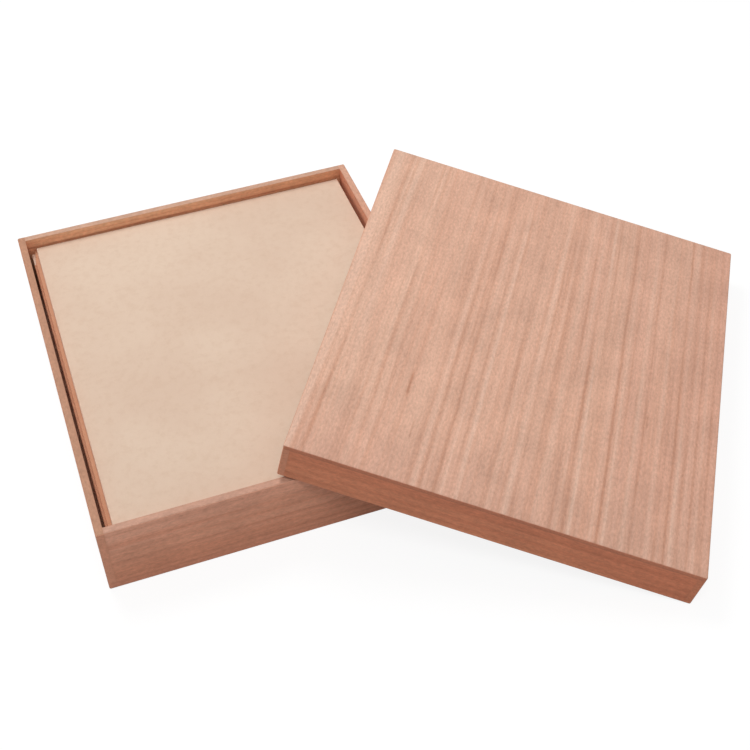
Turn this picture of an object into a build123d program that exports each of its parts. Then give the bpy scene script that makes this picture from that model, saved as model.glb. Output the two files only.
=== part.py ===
from build123d import *
import math
import os

os.makedirs("parts", exist_ok=True)

# A wooden presentation box, its cap lid leaning on the rim, and the paper-covered folder in it.
# Millimetres. The origin is the middle of the box's underside: +X runs right along the front
# wall, +Y to the back wall, +Z up.

# Box, outside sizes and boards
box_width = 263.0
box_length = 303.0
box_height = 55.5
wall_thickness = 5.3
base_thickness = 5.5

# Lid, a shallow cap that slides down over the outside of the box
lid_clearance = 0.5
lid_height = 29.7
rail_thickness = 4.5
panel_thickness = 3.0

# Easing of the boards' outer edges
corner_radius = 1.2
edge_radius = 0.8

# Wooden pegs
peg_diameter = 2.4
peg_length = 18.0
box_peg_rows = 3
box_peg_pitch = 15.0
lid_peg_rows = 2
lid_peg_pitch = 11.0
base_peg_margin = 45.0
base_pegs_across = 4
base_pegs_along = 5

# How the lid leans: turned about Z, its right edge on the floor, its front rail on the box's rim
lid_turn = -32.83
lid_contact_x = 2.8
lid_overhang = 17.4
rest_gap = 0.3

# Folder, by its gaps to the inside of the box
folder_gap_left = 2.0
folder_gap_right = 2.9
folder_gap_back = 0.8
folder_gap_front = 2.0
folder_board = 2.4
flap_setback = 1.5
flap_width = 90.0
flap_taper_width = 1.3
flap_taper_length = 13.0
cover_setback = 4.4
paper_radius = 0.8

# What the folder holds
mounted_board_count = 12
mounted_board_thickness = 2.8
mounted_board_play = 0.6
mounted_board_inset = 3.0

# Sizes that follow
inner_width = box_width - 2 * wall_thickness
inner_length = box_length - 2 * wall_thickness
wall_height = box_height - base_thickness
lid_width = box_width + 2 * (lid_clearance + rail_thickness)
lid_length = box_length + 2 * (lid_clearance + rail_thickness)
rail_height = lid_height - panel_thickness


def save(builder, name):
    """Label a finished piece and write it to its own file."""
    builder.part.label = name
    export_step(builder.part, f"parts/{name}.step")


def ease_board(board, centre, height_axis, long_only):
    """Round a standing board's outer top edge, and its ends and outer corners too unless it
    stands between two others. centre is a point inside the box at the height of the top."""
    if not long_only:
        corners = board.edges().filter_by(height_axis).sort_by_distance(centre)[-2:]
        fillet(corners, corner_radius)
    top_edges = board.faces().sort_by(height_axis)[-1].edges().sort_by_distance(centre)
    fillet(top_edges[1:2] if long_only else top_edges[1:], edge_radius)


# Box pegs: rows of pegs run through the side walls into the ends of the front and back walls
with BuildPart() as box_corner_pegs:
    with BuildSketch(Plane.YZ.offset(-box_width / 2)):
        with Locations((0, base_thickness + wall_height / 2)):
            with GridLocations(box_length - wall_thickness, box_peg_pitch, 2, box_peg_rows):
                Circle(peg_diameter / 2)
    extrude(amount=peg_length)
    mirror(about=Plane.YZ)
save(box_corner_pegs, "box_corner_pegs")

# Base pegs: driven from below through the base into all four walls
base_pitch_x = (box_width - 2 * base_peg_margin) / (base_pegs_across - 1)
base_pitch_y = (box_length - 2 * base_peg_margin) / (base_pegs_along - 1)
with BuildPart() as box_base_pegs:
    with BuildSketch():
        with GridLocations(base_pitch_x, box_length - wall_thickness, base_pegs_across, 2):
            Circle(peg_diameter / 2)
        with GridLocations(box_width - wall_thickness, base_pitch_y, 2, base_pegs_along):
            Circle(peg_diameter / 2)
    extrude(amount=peg_length)
save(box_base_pegs, "box_base_pegs")

# Base board, under the walls
with BuildPart() as box_base:
    with BuildSketch():
        Rectangle(box_width, box_length)
    extrude(amount=base_thickness)
    fillet(box_base.edges().filter_by(Axis.Z), corner_radius)
    fillet(box_base.faces().sort_by(Axis.Z)[0].edges(), edge_radius)
    add(box_base_pegs.part, mode=Mode.SUBTRACT)
save(box_base, "box_base")

# Side walls, full length
rim_centre = (0, 0, box_height)
for side_name, side in (("left", -1), ("right", 1)):
    with BuildPart() as side_wall:
        with BuildSketch(Plane.XY.offset(base_thickness)):
            with Locations((side * (box_width - wall_thickness) / 2, 0)):
                Rectangle(wall_thickness, box_length)
        extrude(amount=wall_height)
        ease_board(side_wall, rim_centre, Axis.Z, long_only=False)
        add(box_corner_pegs.part, mode=Mode.SUBTRACT)
        add(box_base_pegs.part, mode=Mode.SUBTRACT)
    save(side_wall, f"box_{side_name}_wall")

# Front and back walls, between the side walls
for end_name, end in (("front", -1), ("back", 1)):
    with BuildPart() as end_wall:
        with BuildSketch(Plane.XY.offset(base_thickness)):
            with Locations((0, end * (box_length - wall_thickness) / 2)):
                Rectangle(inner_width, wall_thickness)
        extrude(amount=wall_height)
        ease_board(end_wall, rim_centre, Axis.Z, long_only=True)
        add(box_corner_pegs.part, mode=Mode.SUBTRACT)
        add(box_base_pegs.part, mode=Mode.SUBTRACT)
    save(end_wall, f"box_{end_name}_wall")

# The leaning lid's own plane: its origin is the middle of the lid's open underside. The front
# rail's inner lower edge rests on the outer edge of the box's front rim.
turn = math.radians(lid_turn)
tilt = math.asin((box_height + rest_gap) / (lid_width - lid_overhang))
lid_x = Vector(math.cos(turn) * math.cos(tilt), math.sin(turn) * math.cos(tilt), -math.sin(tilt))
lid_y = Vector(-math.sin(turn), math.cos(turn), 0)
lid_z = lid_x.cross(lid_y)
contact = Vector(lid_contact_x, -box_length / 2, box_height + rest_gap)
contact_in_lid_x = lid_overhang - lid_width / 2
contact_in_lid_y = rail_thickness - lid_length / 2
lid_origin = contact - lid_x * contact_in_lid_x - lid_y * contact_in_lid_y
lid_plane = Plane(origin=lid_origin, x_dir=lid_x, z_dir=lid_z)
lid_up = Axis(lid_origin, lid_z)
lid_middle = Plane(origin=lid_origin, x_dir=lid_y, z_dir=lid_x)

# Lid pegs: through the side rails into the ends of the front and back rails
with BuildPart() as lid_corner_pegs:
    with BuildSketch(lid_middle.offset(-lid_width / 2)):
        with Locations((0, rail_height / 2)):
            with GridLocations(lid_length - rail_thickness, lid_peg_pitch, 2, lid_peg_rows):
                Circle(peg_diameter / 2)
    extrude(amount=peg_length)
    mirror(about=lid_middle)
save(lid_corner_pegs, "lid_corner_pegs")

# Top panel, over the rails
with BuildPart() as lid_top_panel:
    with BuildSketch(lid_plane.offset(rail_height)):
        Rectangle(lid_width, lid_length)
    extrude(amount=panel_thickness)
    fillet(lid_top_panel.edges().filter_by(lid_up), corner_radius)
    fillet(lid_top_panel.faces().sort_by(lid_up)[-1].edges(), edge_radius)
save(lid_top_panel, "lid_top_panel")

# Side rails, full length
lid_down = Axis(lid_origin, -lid_z)
for side_name, side in (("left", -1), ("right", 1)):
    with BuildPart() as side_rail:
        with BuildSketch(lid_plane):
            with Locations((side * (lid_width - rail_thickness) / 2, 0)):
                Rectangle(rail_thickness, lid_length)
        extrude(amount=rail_height)
        ease_board(side_rail, lid_origin, lid_down, long_only=False)
        add(lid_corner_pegs.part, mode=Mode.SUBTRACT)
    save(side_rail, f"lid_{side_name}_rail")

# Front and back rails, between the side rails
for end_name, end in (("front", -1), ("back", 1)):
    with BuildPart() as end_rail:
        with BuildSketch(lid_plane):
            with Locations((0, end * (lid_length - rail_thickness) / 2)):
                Rectangle(lid_width - 2 * rail_thickness, rail_thickness)
        extrude(amount=rail_height)
        ease_board(end_rail, lid_origin, lid_down, long_only=True)
        add(lid_corner_pegs.part, mode=Mode.SUBTRACT)
    save(end_rail, f"lid_{end_name}_rail")

# Folder: back board, two standing sides, a flap turned over from the left, and a cover
folder_width = inner_width - folder_gap_left - folder_gap_right
folder_length = inner_length - folder_gap_back - folder_gap_front
folder_left = folder_gap_left - inner_width / 2
folder_right = folder_left + folder_width
folder_middle_x = (folder_left + folder_right) / 2
folder_middle_y = (folder_gap_front - folder_gap_back) / 2
folder_back = folder_middle_y + folder_length / 2
folder_front = folder_middle_y - folder_length / 2

folder_underside = base_thickness + rest_gap
stack_underside = folder_underside + folder_board
stack_height = mounted_board_count * mounted_board_thickness
flap_underside = stack_underside + stack_height + rest_gap
cover_underside = flap_underside + folder_board + rest_gap

with BuildPart() as folder_back_board:
    with BuildSketch(Plane.XY.offset(folder_underside)):
        with Locations((folder_middle_x, folder_middle_y)):
            Rectangle(folder_width, folder_length)
    extrude(amount=folder_board)
    fillet(folder_back_board.faces().sort_by(Axis.Z)[0].edges().filter_by(Axis.Y), paper_radius)
save(folder_back_board, "folder_back_board")

with BuildPart() as folder_left_side:
    with BuildSketch(Plane.XY.offset(stack_underside)):
        with Locations((folder_left + folder_board / 2, folder_middle_y)):
            Rectangle(folder_board, folder_length)
    extrude(amount=stack_height)
    fillet(folder_left_side.edges().group_by(Axis.Z)[-1].sort_by(Axis.X)[0], paper_radius)
save(folder_left_side, "folder_left_side")

with BuildPart() as folder_right_side:
    with BuildSketch(Plane.XY.offset(stack_underside)):
        with Locations((folder_right - folder_board / 2, folder_middle_y)):
            Rectangle(folder_board, folder_length)
    extrude(amount=cover_underside - rest_gap - stack_underside)
save(folder_right_side, "folder_right_side")

# The flap's back corner is cut away beside the fold, so that it turns over freely
flap_left = folder_left + flap_setback
with BuildPart() as folder_inner_flap:
    with BuildSketch(Plane.XY.offset(flap_underside)):
        with BuildLine():
            Polyline(
                (flap_left, folder_front),
                (flap_left + flap_width, folder_front),
                (flap_left + flap_width, folder_back),
                (flap_left + flap_taper_width, folder_back),
                (flap_left, folder_back - flap_taper_length),
                close=True,
            )
        make_face()
    extrude(amount=folder_board)
    fillet(folder_inner_flap.edges().group_by(Axis.Z)[-1].sort_by(Axis.X)[0], paper_radius)
save(folder_inner_flap, "folder_inner_flap")

with BuildPart() as folder_front_cover:
    with BuildSketch(Plane.XY.offset(cover_underside)):
        with Locations(((folder_left + cover_setback + folder_right) / 2, folder_middle_y)):
            Rectangle(folder_width - cover_setback, folder_length)
    extrude(amount=folder_board)
    fillet(folder_front_cover.faces().sort_by(Axis.Z)[-1].edges(), paper_radius)
save(folder_front_cover, "folder_front_cover")

# Mounted boards, one on the other between the folder's sides
mounted_width = folder_width - 2 * (folder_board + mounted_board_play)
mounted_length = folder_length - 2 * mounted_board_inset
for index in range(mounted_board_count):
    with BuildPart() as mounted_board:
        with BuildSketch(Plane.XY.offset(stack_underside + index * mounted_board_thickness)):
            with Locations((folder_middle_x, folder_middle_y)):
                Rectangle(mounted_width, mounted_length)
        extrude(amount=mounted_board_thickness)
    save(mounted_board, f"mounted_board_{index + 1:02d}")
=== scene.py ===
"""Looks of a wooden presentation box, its cap lid leaning on the rim, and the paper folder in it."""

import math

import bmesh
import bpy
from mathutils import Matrix, Vector


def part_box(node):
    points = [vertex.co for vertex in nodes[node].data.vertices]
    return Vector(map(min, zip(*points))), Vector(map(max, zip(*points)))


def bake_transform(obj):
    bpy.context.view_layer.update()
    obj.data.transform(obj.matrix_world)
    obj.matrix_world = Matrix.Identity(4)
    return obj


MM = 0.001

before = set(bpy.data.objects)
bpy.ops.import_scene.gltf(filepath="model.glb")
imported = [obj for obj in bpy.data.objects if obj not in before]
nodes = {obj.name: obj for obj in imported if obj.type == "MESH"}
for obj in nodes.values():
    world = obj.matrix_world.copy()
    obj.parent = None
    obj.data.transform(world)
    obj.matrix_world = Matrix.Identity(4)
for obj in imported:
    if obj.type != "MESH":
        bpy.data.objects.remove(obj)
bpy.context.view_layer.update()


# Camera, as the photograph was taken. Angles in degrees, lengths in metres
camera_place = Vector((-0.1255, -0.6782, 0.6995))
camera_azimuth = 18.58
camera_elevation = 45.67
camera_roll = -1.5
camera_lens = 63.49
sensor_width = 36.0


def make_camera():
    azimuth = math.radians(camera_azimuth)
    elevation = math.radians(camera_elevation)
    roll = math.radians(camera_roll)
    level = Vector((math.sin(azimuth), math.cos(azimuth), 0))
    forward = level * math.cos(elevation) - Vector((0, 0, math.sin(elevation)))
    right = Vector((math.cos(azimuth), -math.sin(azimuth), 0))
    up = right.cross(forward)
    rolled_right = right * math.cos(roll) + up * math.sin(roll)
    rolled_up = rolled_right.cross(forward)
    data = bpy.data.cameras.new("photo_camera")
    data.lens = camera_lens
    data.sensor_width = sensor_width
    data.clip_start = 0.01
    camera = bpy.data.objects.new("photo_camera", data)
    turn = Matrix((rolled_right, rolled_up, -forward)).transposed()
    camera.matrix_world = Matrix.Translation(camera_place) @ turn.to_4x4()
    bpy.context.scene.collection.objects.link(camera)
    bpy.context.scene.camera = camera


# Materials
def rgb(red, green, blue):
    """A colour as a picture editor shows it, 0 to 255, as the linear colour that a shader takes."""
    linear = []
    for value in (red, green, blue):
        share = value / 255
        linear.append(share / 12.92 if share <= 0.04045 else ((share + 0.055) / 1.055) ** 2.4)
    return (*linear, 1.0)


class Shader:
    """The nodes of one material. Lengths in it are millimetres on the piece at rest."""

    def __init__(self, name):
        self.material = bpy.data.materials.new(name)
        self.material.use_nodes = True
        self.tree = self.material.node_tree
        self.tree.nodes.clear()
        self.coordinates = self.tree.nodes.new("ShaderNodeTexCoord")
        self.place = self.vector("SCALE", self.coordinates.outputs["Object"], scale=1 / MM)
        self.normal = self.coordinates.outputs["Normal"]

    def put(self, socket, value):
        if isinstance(value, bpy.types.NodeSocket):
            self.tree.links.new(value, socket)
        else:
            socket.default_value = value

    def vector(self, operation, a, b=None, scale=None):
        node = self.tree.nodes.new("ShaderNodeVectorMath")
        node.operation = operation
        self.put(node.inputs[0], a)
        if b is not None:
            self.put(node.inputs[1], b)
        if scale is not None:
            self.put(node.inputs["Scale"], scale)
        return node.outputs["Value" if operation == "DOT_PRODUCT" else "Vector"]

    def math(self, operation, a, b=None, c=None):
        node = self.tree.nodes.new("ShaderNodeMath")
        node.operation = operation
        for socket, value in zip(node.inputs, (a, b, c)):
            if value is not None:
                self.put(socket, value)
        return node.outputs["Value"]

    def along(self, direction, source=None):
        """How far a place lies along a direction, or how far the surface faces that way."""
        return self.vector("DOT_PRODUCT", source or self.place, direction)

    def point(self, x, y, z):
        node = self.tree.nodes.new("ShaderNodeCombineXYZ")
        for socket, value in zip(node.inputs, (x, y, z)):
            self.put(socket, value)
        return node.outputs["Vector"]

    def stretched(self, axes, sizes, seed):
        """A point whose steps along the three axes are as long as sizes."""
        parts = [self.math("MULTIPLY_ADD", axis, 1 / size, seed) for axis, size in zip(axes, sizes)]
        return self.point(*parts)

    def noise(self, vector, detail=2.0, roughness=0.5, distortion=0.0):
        node = self.tree.nodes.new("ShaderNodeTexNoise")
        self.put(node.inputs["Vector"], vector)
        node.inputs["Scale"].default_value = 1.0
        node.inputs["Detail"].default_value = detail
        node.inputs["Roughness"].default_value = roughness
        node.inputs["Distortion"].default_value = distortion
        return node.outputs["Factor" if "Factor" in node.outputs else "Fac"]

    def scale(self, value, low, high, to_low=0.0, to_high=1.0, kind="SMOOTHSTEP"):
        node = self.tree.nodes.new("ShaderNodeMapRange")
        node.interpolation_type = kind
        for socket, number in zip(node.inputs, (value, low, high, to_low, to_high)):
            self.put(socket, number)
        return node.outputs["Result"]

    def mix(self, share, a, b, blend="MIX"):
        node = self.tree.nodes.new("ShaderNodeMix")
        node.data_type = "RGBA"
        node.blend_type = blend
        self.put(node.inputs["Factor"], share)
        self.put([s for s in node.inputs if s.name == "A" and s.type == "RGBA"][0], a)
        self.put([s for s in node.inputs if s.name == "B" and s.type == "RGBA"][0], b)
        return [s for s in node.outputs if s.type == "RGBA"][0]

    def surface(self, colour, roughness, height, depth, specular=0.3):
        """Finish the material: height runs 0 to 1 over a relief that is depth millimetres deep."""
        bump = self.tree.nodes.new("ShaderNodeBump")
        bump.inputs["Strength"].default_value = 1.0
        bump.inputs["Distance"].default_value = depth * MM
        self.put(bump.inputs["Height"], height)
        shader = self.tree.nodes.new("ShaderNodeBsdfPrincipled")
        self.put(shader.inputs["Base Color"], colour)
        self.put(shader.inputs["Roughness"], roughness)
        shader.inputs["Specular IOR Level"].default_value = specular
        self.put(shader.inputs["Normal"], bump.outputs["Normal"])
        output = self.tree.nodes.new("ShaderNodeOutputMaterial")
        self.put(output.inputs["Surface"], shader.outputs["BSDF"])
        return self.material


class Board:
    """A node and the directions of its grain: along it, across it, and through the board."""

    def __init__(self, name, along, across, through):
        self.name = name
        self.axes = (along, across, through)
        self.middle = []
        self.half = []
        for axis in self.axes:
            places = [axis.dot(vertex.co) / MM for vertex in nodes[name].data.vertices]
            self.middle.append((max(places) + min(places)) / 2)
            self.half.append((max(places) - min(places)) / 2)


# Textures that follow the growth layers and textures that follow the board alone: sizes along the
# grain, across it and through the board in millimetres, a step added to the board's seed, and the
# noise's detail and roughness
layer_textures = {
    "broad": ((420, 22, 60), 3, 2, 0.5),
    "stripe": ((260, 4.2, 12), 11, 3, 0.6),
    "hair": ((120, 1.1, 3), 15, 3, 0.6),
    "fibre": ((22, 0.45, 0.8), 19, 3, 0.65),
    "pores": ((6.0, 0.3, 0.3), 31, 1, 0.5),
    "fading": ((110, 9, 30), 41, 2, 0.5),
}
board_textures = {
    "drift": ((260, 170, 170), 0, 1, 0.5),
    "waver": ((60, 80, 60), 7, 2, 0.5),
    "ragged": ((11, 5, 5), 9, 2, 0.5),
    "patch": ((30, 24, 24), 23, 4, 0.6),
    "fleck": ((3.0, 1.6, 1.6), 27, 3, 0.6),
}
# How much a texture darkens and lightens the wood, as a share
tone_swings = {"fibre": 0.045, "hair": 0.035, "patch": 0.11, "fleck": 0.16}

# Growth rings: how uneven their widths are and over what length, how sharply a line starts and ends
ring_unevenness = 2.6
ring_change = 38
ring_start = 0.08
ring_sharpness = 5.0

# Relief, and how far the wear of the edges and the joint's hairline reach. Millimetres
wood_relief = 0.07
worn_reach = 1.5
joint_reach = 0.5


class Wood(Shader):
    """Straight-grained, planed wood of one board: bands, stripes, growth lines, fibres and pores."""

    def __init__(self, board, look, seed):
        super().__init__(board.name + "_wood")
        self.board = board
        self.look = look
        self.seed = seed
        self.textures = {}
        self.axes = []
        for axis, middle in zip(board.axes, board.middle):
            self.axes.append(self.math("SUBTRACT", self.along(axis), middle))
        self.layer = self.growth_layer()
        self.grain = (self.axes[0], self.layer, self.axes[2])

    def texture(self, name):
        """The noise of that name, made once."""
        if name not in self.textures:
            follows_layers = name in layer_textures
            sizes, step, detail, roughness = (layer_textures if follows_layers else board_textures)[name]
            axes = self.grain if follows_layers else self.axes
            places = self.stretched(axes, sizes, self.seed + step)
            self.textures[name] = self.noise(places, detail, roughness)
        return self.textures[name]

    def growth_layer(self):
        """The place of the growth layer. Layers drift along the board, and lean in a part of it."""
        along, across, through = self.axes
        half_across, half_through = self.board.half[1:]
        look = self.look
        drift = self.math("MULTIPLY_ADD", self.texture("drift"), look["drift"], -look["drift"] / 2)
        for name in ("waver", "ragged"):
            drift = self.math("MULTIPLY_ADD", self.texture(name), look[name], drift)
        seam = look["seam"] * half_across
        leaning = self.scale(across, seam, seam + 0.1 * half_across, look["fan"], 0.0)
        drift = self.math("ADD", drift, self.math("MULTIPLY", along, leaning))
        depth = self.math("SUBTRACT", through, half_through)
        return self.math("ADD", self.math("MULTIPLY_ADD", depth, look["lean"], across), drift)

    def near(self, value, place, reach, at_place=1.0, core=0.0):
        """at_place within a core share of the reach round the place, then falling to nothing."""
        distance = self.math("ABSOLUTE", self.math("SUBTRACT", value, place))
        return self.scale(distance, core * reach, reach, at_place, 0.0)

    def ring_lines(self):
        """Growth lines, which start sharply and fade."""
        places = self.stretched((self.layer, self.seed, self.seed), (ring_change, 1, 1), self.seed)
        uneven = self.math("MULTIPLY", self.noise(places, detail=1), ring_unevenness)
        ring = self.math("FRACT", self.math("MULTIPLY_ADD", self.layer, 1 / self.look["ring"], uneven))
        line = self.math("POWER", self.math("SUBTRACT", 1.0, ring), ring_sharpness)
        line = self.math("MULTIPLY", line, self.scale(ring, 0.0, ring_start))
        share = self.scale(self.texture("fading"), 0.35, 0.65, 0.0, self.look["ring_share"])
        return self.math("MULTIPLY", line, share)

    def chosen_lines(self, dark, lines, marks):
        """Darker lines at their own places, added to dark, and the paler ones, of a negative strength."""
        along = self.axes[0]
        half_along = self.board.half[0]
        showing = self.scale(along, -half_along, half_along, 1.0, self.look["line_fade"], "LINEAR")
        showing = self.math("MULTIPLY", showing, self.scale(self.texture("fading"), 0.3, 0.62, 0.35, 1.15))
        pale = 0.0
        for place, width, strength in lines:
            line = self.near(self.layer, place, width, abs(strength))
            if strength > 0:
                dark = self.math("MULTIPLY_ADD", line, showing, dark)
            else:
                pale = self.math("MULTIPLY_ADD", line, showing, pale)
        for place, place_along, width, reach_along, strength in marks:
            mark_along = self.near(along, place_along, reach_along, core=0.4)
            mark = self.math("MULTIPLY", self.near(self.layer, place, width, strength), mark_along)
            dark = self.math("ADD", dark, mark)
        return self.math("MINIMUM", dark, 1.0), self.math("MINIMUM", pale, 1.0)

    def banded_colour(self):
        """Three tones across the board, a fourth towards its far end, and stripes."""
        along, across = self.axes[:2]
        half_along, half_across = self.board.half[:2]
        look = self.look
        side = self.scale(across, -half_across, half_across, kind="LINEAR")
        wander = self.math("SUBTRACT", self.texture("broad"), 0.5)
        side = self.math("MULTIPLY_ADD", wander, look["broad"], side)
        colour = self.mix(self.scale(side, 0.0, 0.35), look["pale"], look["body"])
        colour = self.mix(self.scale(side, 0.55, 1.0), colour, look["warm"])
        far_start, far_end = look["far_span"]
        far = self.scale(along, far_start * half_along, far_end * half_along)
        colour = self.mix(far, colour, look["far"])
        stripe = self.texture("stripe")
        colour = self.mix(self.scale(stripe, 0.40, 0.75, 0.0, look["streak_share"]), colour, look["streak"])
        return self.mix(self.scale(stripe, 0.25, 0.42, 0.35, 0.0), colour, look["pale"])

    def toned(self, colour):
        tone = 1.0
        for name, swing in tone_swings.items():
            swung = self.scale(self.texture(name), 0.25, 0.75, 1 - swing, 1 + swing, "LINEAR")
            tone = self.math("MULTIPLY", tone, swung)
        return self.mix(1.0, colour, self.point(tone, tone, tone), "MULTIPLY")

    def facing(self, index):
        """How squarely the surface faces along one of the board's directions."""
        return self.math("ABSOLUTE", self.along(self.board.axes[index], self.normal))

    def edge_distance(self):
        """How far a point of the surface lies from the board's nearest edge, in millimetres."""
        inside = []
        for half, axis in zip(self.board.half, self.axes):
            inside.append(self.math("SUBTRACT", half, self.math("ABSOLUTE", axis)))
        a, b, c = inside
        larger = self.math("MAXIMUM", a, b)
        smaller = self.math("MINIMUM", a, b)
        return self.math("MAXIMUM", smaller, self.math("MINIMUM", larger, c))

    def worn(self, colour):
        """Handled edges are a little darker."""
        rubbed = self.scale(self.edge_distance(), 0.0, worn_reach, 1.0, 0.0)
        rubbed = self.math("MULTIPLY", rubbed, self.scale(self.texture("patch"), 0.3, 0.7, 0.2, 0.7))
        return self.mix(self.math("MULTIPLY", rubbed, 0.35), colour, self.look["worn"])

    def jointed(self, colour):
        """The joint to the next board is a hairline on the flat faces, where the edge is sharp."""
        look = self.look
        axis = look["joint_axis"]
        place = self.board.half[axis] * look["joint_side"]
        joint = self.near(self.axes[axis], place, joint_reach, look["joint_share"], core=0.1)
        flat = self.math("MAXIMUM", self.facing(2), self.math("MAXIMUM", self.facing(0), self.facing(1)))
        joint = self.math("MULTIPLY", joint, self.scale(flat, 0.97, 0.995))
        return self.mix(joint, colour, look["joint"])


def wood(board, look, seed, lines=(), marks=()):
    """Dress a board in its wood."""
    shader = Wood(board, look, seed)
    dark, pale = shader.chosen_lines(shader.ring_lines(), lines, marks)
    pore = shader.scale(shader.texture("pores"), 0.60, 0.70)
    pore = shader.math("MULTIPLY", pore, shader.scale(dark, 0.0, 0.6, 0.5, 1.0))
    end = shader.scale(shader.facing(0), 0.55, 0.9)
    edge = shader.scale(shader.facing(1), 0.55, 0.9)

    colour = shader.banded_colour()
    if "light" in look:
        colour = shader.mix(pale, colour, look["light"])
    colour = shader.mix(shader.math("MULTIPLY", dark, look["line_share"]), colour, look["line"])
    colour = shader.mix(shader.math("MULTIPLY", edge, look["edge_share"]), colour, look["edge"])
    colour = shader.mix(shader.math("MULTIPLY", end, look["end_share"]), colour, look["end"])
    colour = shader.toned(colour)
    colour = shader.mix(shader.math("MULTIPLY", pore, 0.4), colour, look["pore"])
    colour = shader.jointed(shader.worn(colour))

    fibre = shader.texture("fibre")
    roughness = shader.scale(fibre, 0.2, 0.8, 0.54, 0.72, "LINEAR")
    height = shader.math("MULTIPLY_ADD", fibre, 0.45, 0.55)
    height = shader.math("MULTIPLY_ADD", pore, -0.55, height)
    height = shader.math("MULTIPLY_ADD", dark, -0.2, height)
    show(board.name, shader.surface(colour, roughness, height, wood_relief))


def show(name, material):
    """Give a node its material."""
    mesh = nodes[name].data
    mesh.materials.clear()
    mesh.materials.append(material)


# The lid leans; its directions follow from the top panel's own corners
def lid_directions():
    panel = nodes["lid_top_panel"].data
    places = [vertex.co.copy() for vertex in panel.vertices]
    flat_faces = sorted(panel.polygons, key=lambda face: face.area)
    up = flat_faces[-1].normal.copy()
    if up.z < 0:
        up = -up
    length = Vector((-up.y, up.x, 0)).normalized()
    if length.y < 0:
        length = -length
    width = length.cross(up)
    return width, length, up


X = Vector((1, 0, 0))
Y = Vector((0, 1, 0))
Z = Vector((0, 0, 1))
lid_x, lid_y, lid_z = lid_directions()

# Looks of the boards. drift, waver and ragged move the growth layers, in millimetres; lean, fan and
# seam slant them; ring is the width of a ring; broad is how far the bands wander. far_span, and the
# joint's side, are shares of half the board
panel_look = {
    "drift": 2.0, "waver": 1.6, "ragged": 0.8, "lean": 0.25, "fan": -0.018, "seam": 0.15,
    "ring": 9.0, "ring_share": 0.2, "line_fade": 0.6, "broad": 0.8,
    "pale": rgb(221, 179, 155), "body": rgb(219, 173, 149), "warm": rgb(217, 167, 144),
    "far": rgb(211, 165, 143), "far_span": (-0.5, -1.05), "light": rgb(227, 189, 167),
    "streak": rgb(205, 152, 126), "streak_share": 0.6,
    "line": rgb(184, 128, 100), "line_share": 0.85,
    "edge": rgb(210, 139, 106), "edge_share": 0.9,
    "end": rgb(197, 124, 94), "end_share": 1.0,
    "pore": rgb(162, 110, 86), "worn": rgb(184, 130, 104), "joint": rgb(120, 68, 46),
    "joint_axis": 2, "joint_side": -1, "joint_share": 0.2,
}
# rail_look's deep, red tones are a shaded copy of the rails' wood: painted shade on the front and right
# rails, which take it; the back and left rails take the paler back_rail_look
rail_look = {
    "drift": 2.0, "waver": 0.4, "ragged": 0.15, "lean": 0.2, "fan": 0.0, "seam": 0.0,
    "ring": 8.0, "ring_share": 0.5, "line_fade": 1.0, "broad": 1.4,
    "pale": rgb(224, 146, 110), "body": rgb(219, 140, 105), "warm": rgb(216, 135, 101),
    "far": rgb(216, 134, 100), "far_span": (0.2, 1.0),
    "streak": rgb(204, 122, 90), "streak_share": 0.5,
    "line": rgb(170, 94, 66), "line_share": 0.5,
    "edge": rgb(204, 158, 134), "edge_share": 0.9,
    "end": rgb(210, 132, 99), "end_share": 0.9,
    "pore": rgb(140, 86, 64), "worn": rgb(170, 110, 84), "joint": rgb(104, 58, 40),
    "joint_axis": 1, "joint_side": 1, "joint_share": 0.16,
}
back_rail_look = {
    **rail_look,
    "pale": rgb(227, 161, 131), "body": rgb(223, 154, 124), "warm": rgb(220, 149, 119),
    "far": rgb(223, 154, 124), "streak": rgb(208, 138, 109), "line": rgb(180, 113, 86),
    "end": rgb(214, 146, 116),
}
# On the walls the tones run from pale at the bottom edge, through body, to warm at the rim, and pale is the
# darkest: painted shade, darker towards the bottom. The darker, redder far tone is painted shade too, the
# shade under the leaning lid at the front wall's right end; the side walls take it towards their back ends
wall_look = {
    **rail_look,
    "pale": rgb(225, 155, 124), "body": rgb(230, 164, 134), "warm": rgb(236, 174, 146),
    "far": rgb(223, 151, 120), "far_span": (0.0, 1.0),
    "end": rgb(224, 157, 127), "joint_side": -1, "joint_share": 0.1,
}
left_wall_look = {**wall_look, "edge": rgb(174, 129, 102)}
front_wall_look = {**wall_look, "edge": rgb(190, 147, 126)}
# The back wall's paler, more orange tones are painted light, the bounce from the pale folder onto the wall's
# inner face; they show on its outside as well
back_wall_look = {
    **wall_look,
    "pale": rgb(222, 165, 126), "body": rgb(225, 170, 131), "warm": rgb(230, 178, 140),
    "far": rgb(225, 170, 131),
    "edge": rgb(192, 152, 130), "ring_share": 0.3, "line_share": 0.8,
}
base_look = {
    **wall_look,
    "edge": rgb(216, 146, 117), "end": rgb(214, 144, 115),
    "joint_axis": 2, "joint_side": 1,
}
peg_look = {
    **rail_look,
    "end": rgb(190, 140, 104), "end_share": 0.9,
}

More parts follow.
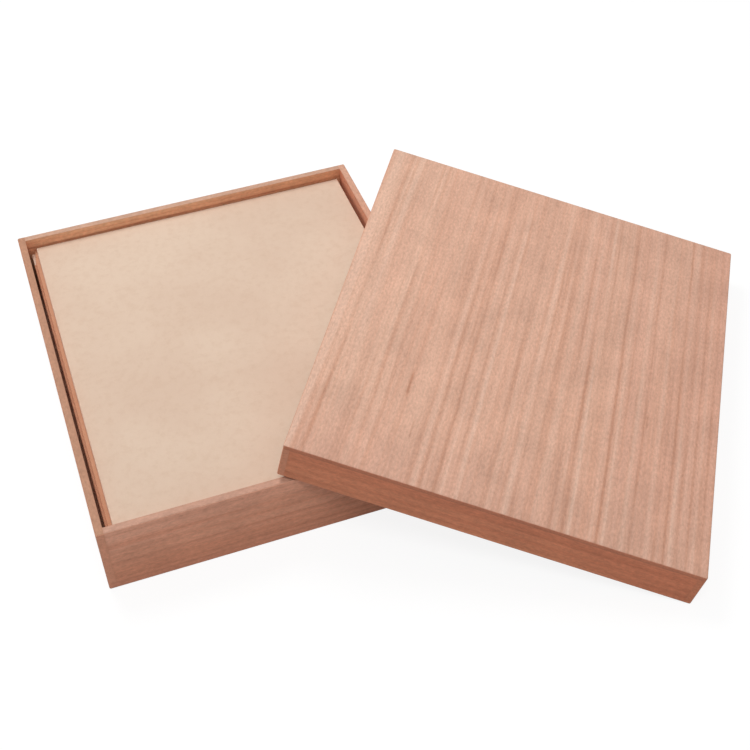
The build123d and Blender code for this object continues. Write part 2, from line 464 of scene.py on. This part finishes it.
# Growth lines: place across the board in millimetres from its middle, half width and strength.
# A strength below nothing makes a paler line
panel_lines = (
    (-121, 3.0, 0.7), (-104, 2.0, 0.2), (-91, 2.4, 0.25), (-83, 1.6, 0.25), (-53, 2.4, 0.4), (-45, 2.0, 0.4),
    (-36, 2.3, 0.6), (-26, 2.4, 0.35), (-5, 2.6, 0.5), (13, 2.0, 0.45), (21, 2.4, 0.45), (35, 1.8, 0.6),
    (43, 1.8, 0.7), (51, 1.7, 0.35), (65, 1.8, 0.65), (73, 1.6, 0.2), (86, 1.8, 0.6), (94, 1.4, 0.2),
    (102, 2.2, 0.4), (108, 1.7, 0.6), (116, 1.9, 0.45), (123, 1.6, 0.3), (132, 1.8, 0.4),
    (-131, 5.0, -0.6), (-113, 4.0, -0.55), (-49, 2.4, -0.35), (-31, 2.6, -0.4), (-22, 2.6, -0.6),
    (-1, 3.0, -0.35), (9, 3.0, -0.6), (28, 3.4, -0.45), (39, 1.8, -0.55), (47, 2.2, -0.75), (61, 2.2, -0.35),
    (69, 2.4, -0.5), (81, 3.0, -0.55), (97, 2.6, -0.35), (112, 2.2, -0.6), (119, 1.6, -0.3), (127, 2.0, -0.3),
)

# Short dark marks: places across and along, half width, half length and strength
panel_marks = ((-70, -75, 1.6, 15, 0.9), (-60, -112, 1.2, 12, 0.4), (88, -44, 1.2, 9, 0.5))

rail_lines = ((-9.0, 4.5, 0.4), (-2.0, 2.5, 0.15), (6.0, 2.0, 0.15))
wall_lines = ((-21, 3.5, 0.3), (-14, 2.2, 0.2), (-7, 2.5, 0.25), (3, 2.2, 0.3), (14, 2.2, 0.25))
# On the back wall, a dark line just above the folder's top is a painted shadow where the folder meets the
# wall, drawn as a growth line; it shows on both faces of the wall
back_wall_painted_shadow_line = ((16.8, 1.5, 0.9),)


def dress_wood():
    boards = (
        (Board("lid_top_panel", lid_y, lid_x, lid_z), panel_look, 5.0, panel_lines, panel_marks),
        (Board("lid_front_rail", lid_x, lid_z, lid_y), rail_look, 14.0, rail_lines),
        (Board("lid_back_rail", lid_x, lid_z, lid_y), back_rail_look, 23.0),
        (Board("lid_left_rail", lid_y, lid_z, lid_x), back_rail_look, 32.0),
        (Board("lid_right_rail", lid_y, lid_z, lid_x), rail_look, 41.0),
        (Board("lid_corner_pegs", lid_x, lid_z, lid_y), peg_look, 50.0),
        (Board("box_front_wall", X, Z, Y), front_wall_look, 59.0, wall_lines),
        (Board("box_back_wall", X, Z, Y), back_wall_look, 68.0, back_wall_painted_shadow_line),
        (Board("box_left_wall", Y, Z, X), left_wall_look, 77.0),
        (Board("box_right_wall", Y, Z, X), wall_look, 86.0),
        (Board("box_base", X, Y, Z), base_look, 95.0),
        (Board("box_corner_pegs", X, Z, Y), peg_look, 104.0),
        (Board("box_base_pegs", Z, X, Y), peg_look, 113.0),
    )
    for board in boards:
        wood(*board)


def paper(name, colours, seed, depth=0.05):
    """Thick matte paper with cloudy tone and short fibres."""
    shader = Shader(name)
    axes = [shader.along(axis) for axis in (X, Y, Z)]
    cloud = shader.noise(shader.stretched(axes, (70, 70, 70), seed), detail=3)
    mottle = shader.noise(shader.stretched(axes, (4.5, 4.5, 4.5), seed + 5), detail=4, roughness=0.6)
    tooth = shader.noise(shader.stretched(axes, (0.45, 0.45, 0.45), seed + 9), detail=3)
    fibre = shader.noise(shader.stretched(axes, (5.0, 0.5, 1.5), seed + 13), detail=2, distortion=0.6)
    light, middle, dark = colours
    colour = shader.mix(shader.scale(cloud, 0.3, 0.7), light, middle)
    colour = shader.mix(shader.scale(mottle, 0.4, 0.8, 0.0, 0.35), colour, dark)
    tone = shader.scale(tooth, 0.25, 0.75, 0.96, 1.04, "LINEAR")
    colour = shader.mix(1.0, colour, shader.point(tone, tone, tone), "MULTIPLY")
    colour = shader.mix(shader.scale(fibre, 0.70, 0.80, 0.0, 0.12), colour, dark)
    roughness = shader.scale(mottle, 0.3, 0.7, 0.78, 0.92, "LINEAR")
    height = shader.math("MULTIPLY_ADD", tooth, 0.5, shader.math("MULTIPLY", mottle, 0.5))
    return shader.surface(colour, roughness, height, depth, specular=0.2)


cover_colours = (rgb(220, 196, 175), rgb(215, 189, 168), rgb(203, 173, 149))
# The side paper is a darker, more orange copy of the cover paper: painted shade and wood-coloured bounce in
# the narrow step by the left wall, taken by the inner flap and the hinge papers
side_painted_shade_colours = (rgb(200, 149, 119), rgb(194, 141, 111), rgb(176, 124, 96))
card_colours = (rgb(238, 232, 218), rgb(232, 224, 208), rgb(214, 204, 186))


def dress_folder():
    cover_paper = paper("folder_cover_paper", cover_colours, 3.0)
    side_paper = paper("folder_side_paper", side_painted_shade_colours, 17.0)
    card = paper("mount_card_paper", card_colours, 29.0, depth=0.03)
    show("folder_front_cover", cover_paper)
    show("folder_back_board", cover_paper)
    show("folder_inner_flap", side_paper)
    show("folder_left_side", cover_paper)
    show("folder_right_side", cover_paper)
    for name in nodes:
        if name.startswith("mounted_board"):
            show(name, card)


# Paper strips that hinge the folder's cover and flap. Millimetres
strip_clearance = 0.02
strip_thickness = 0.1
strip_taper = 13.0
strip_steps = 48
paper_radius = 0.8


def strip(name, outline, front, back, material):
    """A paper strip with that outline, a list of (x, z), running from front to back."""
    mesh = bmesh.new()
    rows = []
    for step in range(strip_steps + 1):
        y = front + (back - front) * step / strip_steps
        rows.append([mesh.verts.new((x * MM, y * MM, z * MM)) for x, z in outline])
    count = len(outline)
    for row, following in zip(rows, rows[1:]):
        for index in range(count):
            after = (index + 1) % count
            mesh.faces.new((row[index], row[after], following[after], following[index]))
    mesh.faces.new(rows[0])
    mesh.faces.new(rows[-1])
    bmesh.ops.recalc_face_normals(mesh, faces=mesh.faces)
    data = bpy.data.meshes.new(name)
    mesh.to_mesh(data)
    mesh.free()
    data.materials.append(material)
    piece = bpy.data.objects.new(name, data)
    bpy.context.scene.collection.objects.link(piece)
    return piece


def arc(centre, radius, start, end, steps=6):
    """Points of an arc in the XZ plane, angles in degrees from +X towards +Z."""
    points = []
    for step in range(steps + 1):
        angle = math.radians(start + (end - start) * step / steps)
        points.append((centre[0] + radius * math.cos(angle), centre[1] + radius * math.sin(angle)))
    return points


def hinge_papers():
    inner = strip_clearance
    outer = strip_clearance + strip_thickness
    material = paper("folder_hinge_paper", side_painted_shade_colours, 43.0)

    low, high = (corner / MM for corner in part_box("folder_left_side"))
    flap_low, flap_high = (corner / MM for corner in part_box("folder_inner_flap"))
    front, back = low.y, high.y
    bend = (low.x + paper_radius, high.z - paper_radius)
    outside = [(low.x - outer, low.z)]
    outside += arc(bend, paper_radius + outer, 180, 90)
    outside += [(flap_low.x - outer, high.z + outer), (flap_low.x - outer, flap_high.z - paper_radius)]
    inside = [(flap_low.x - inner, flap_high.z - paper_radius), (flap_low.x - inner, high.z + inner)]
    inside += arc(bend, paper_radius + inner, 90, 180)
    inside += [(low.x - inner, low.z)]
    flap_strip = strip("folder_flap_hinge", outside + inside, front, back - strip_taper, material)
    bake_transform(flap_strip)

    low, high = (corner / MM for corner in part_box("folder_right_side"))
    cover_low, cover_high = (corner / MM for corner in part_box("folder_front_cover"))
    outline = [(high.x + inner, low.z), (high.x + outer, low.z),
               (high.x + outer, high.z), (high.x + outer, cover_low.z),
               (high.x + outer, cover_high.z - paper_radius), (high.x + inner, cover_high.z - paper_radius),
               (high.x + inner, cover_low.z), (high.x + inner, high.z)]
    cover_strip = strip("folder_cover_hinge", outline, front, back, material)
    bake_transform(cover_strip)


# Floor, world and lamps. The floor bounces light, and the camera sees it paler, with a light shadow
floor_size = 12.0
floor_bounce = 0.42
floor_shade = 0.16
floor_glow = 0.87
world_light = 0.4
lit_place = (0.1, 0.0, 0.0)


def grey(level):
    return (level, level, level, 1.0)


def seen_share(tree):
    """One for the rays of the camera, mirrors and glass, and nothing for the others."""
    path = tree.nodes.new("ShaderNodeLightPath")
    seen = path.outputs["Is Camera Ray"]
    for other in ("Is Glossy Ray", "Is Transmission Ray"):
        both = tree.nodes.new("ShaderNodeMath")
        both.operation = "MAXIMUM"
        tree.links.new(seen, both.inputs[0])
        tree.links.new(path.outputs[other], both.inputs[1])
        seen = both.outputs["Value"]
    return seen


def make_floor():
    material = bpy.data.materials.new("floor_white")
    material.use_nodes = True
    tree = material.node_tree
    tree.nodes.clear()
    bounce = tree.nodes.new("ShaderNodeBsdfDiffuse")
    bounce.inputs["Color"].default_value = grey(floor_bounce)
    shade = tree.nodes.new("ShaderNodeBsdfDiffuse")
    shade.inputs["Color"].default_value = grey(floor_shade)
    glow = tree.nodes.new("ShaderNodeEmission")
    glow.inputs["Strength"].default_value = floor_glow
    pale = tree.nodes.new("ShaderNodeAddShader")
    tree.links.new(shade.outputs["BSDF"], pale.inputs[0])
    tree.links.new(glow.outputs["Emission"], pale.inputs[1])
    both = tree.nodes.new("ShaderNodeMixShader")
    tree.links.new(seen_share(tree), both.inputs["Fac"])
    tree.links.new(bounce.outputs["BSDF"], both.inputs[1])
    tree.links.new(pale.outputs["Shader"], both.inputs[2])
    output = tree.nodes.new("ShaderNodeOutputMaterial")
    tree.links.new(both.outputs["Shader"], output.inputs["Surface"])

    half = floor_size / 2
    data = bpy.data.meshes.new("floor")
    corners = [(-half, -half, 0), (half, -half, 0), (half, half, 0), (-half, half, 0)]
    data.from_pydata(corners, [], [(0, 1, 2, 3)])
    data.materials.append(material)
    floor = bpy.data.objects.new("floor", data)
    bpy.context.scene.collection.objects.link(floor)


def make_world():
    world = bpy.data.worlds.new("studio")
    bpy.context.scene.world = world
    world.use_nodes = True
    tree = world.node_tree
    tree.nodes.clear()
    level = tree.nodes.new("ShaderNodeMapRange")
    tree.links.new(seen_share(tree), level.inputs["Value"])
    level.inputs["To Min"].default_value = world_light
    level.inputs["To Max"].default_value = 1.0
    background = tree.nodes.new("ShaderNodeBackground")
    background.inputs["Color"].default_value = grey(1.0)
    tree.links.new(level.outputs["Result"], background.inputs["Strength"])
    output = tree.nodes.new("ShaderNodeOutputWorld")
    tree.links.new(background.outputs["Background"], output.inputs["Surface"])


def make_lamp(name, place, target, size, watts):
    data = bpy.data.lights.new(name, "AREA")
    data.shape = "DISK"
    data.size = size
    data.energy = watts
    lamp = bpy.data.objects.new(name, data)
    lamp.location = place
    lamp.rotation_euler = (Vector(target) - Vector(place)).to_track_quat("-Z", "Y").to_euler()
    bpy.context.scene.collection.objects.link(lamp)


make_camera()
make_world()
make_floor()
make_lamp("key_lamp", place=(-0.15, 0.5, 1.1), target=lit_place, size=0.6, watts=6.2)
make_lamp("fill_lamp", place=(-0.4, -1.2, 3.0), target=lit_place, size=1.2, watts=31.0)
dress_wood()
dress_folder()
hinge_papers()

bpy.context.scene.view_settings.view_transform = "Standard"
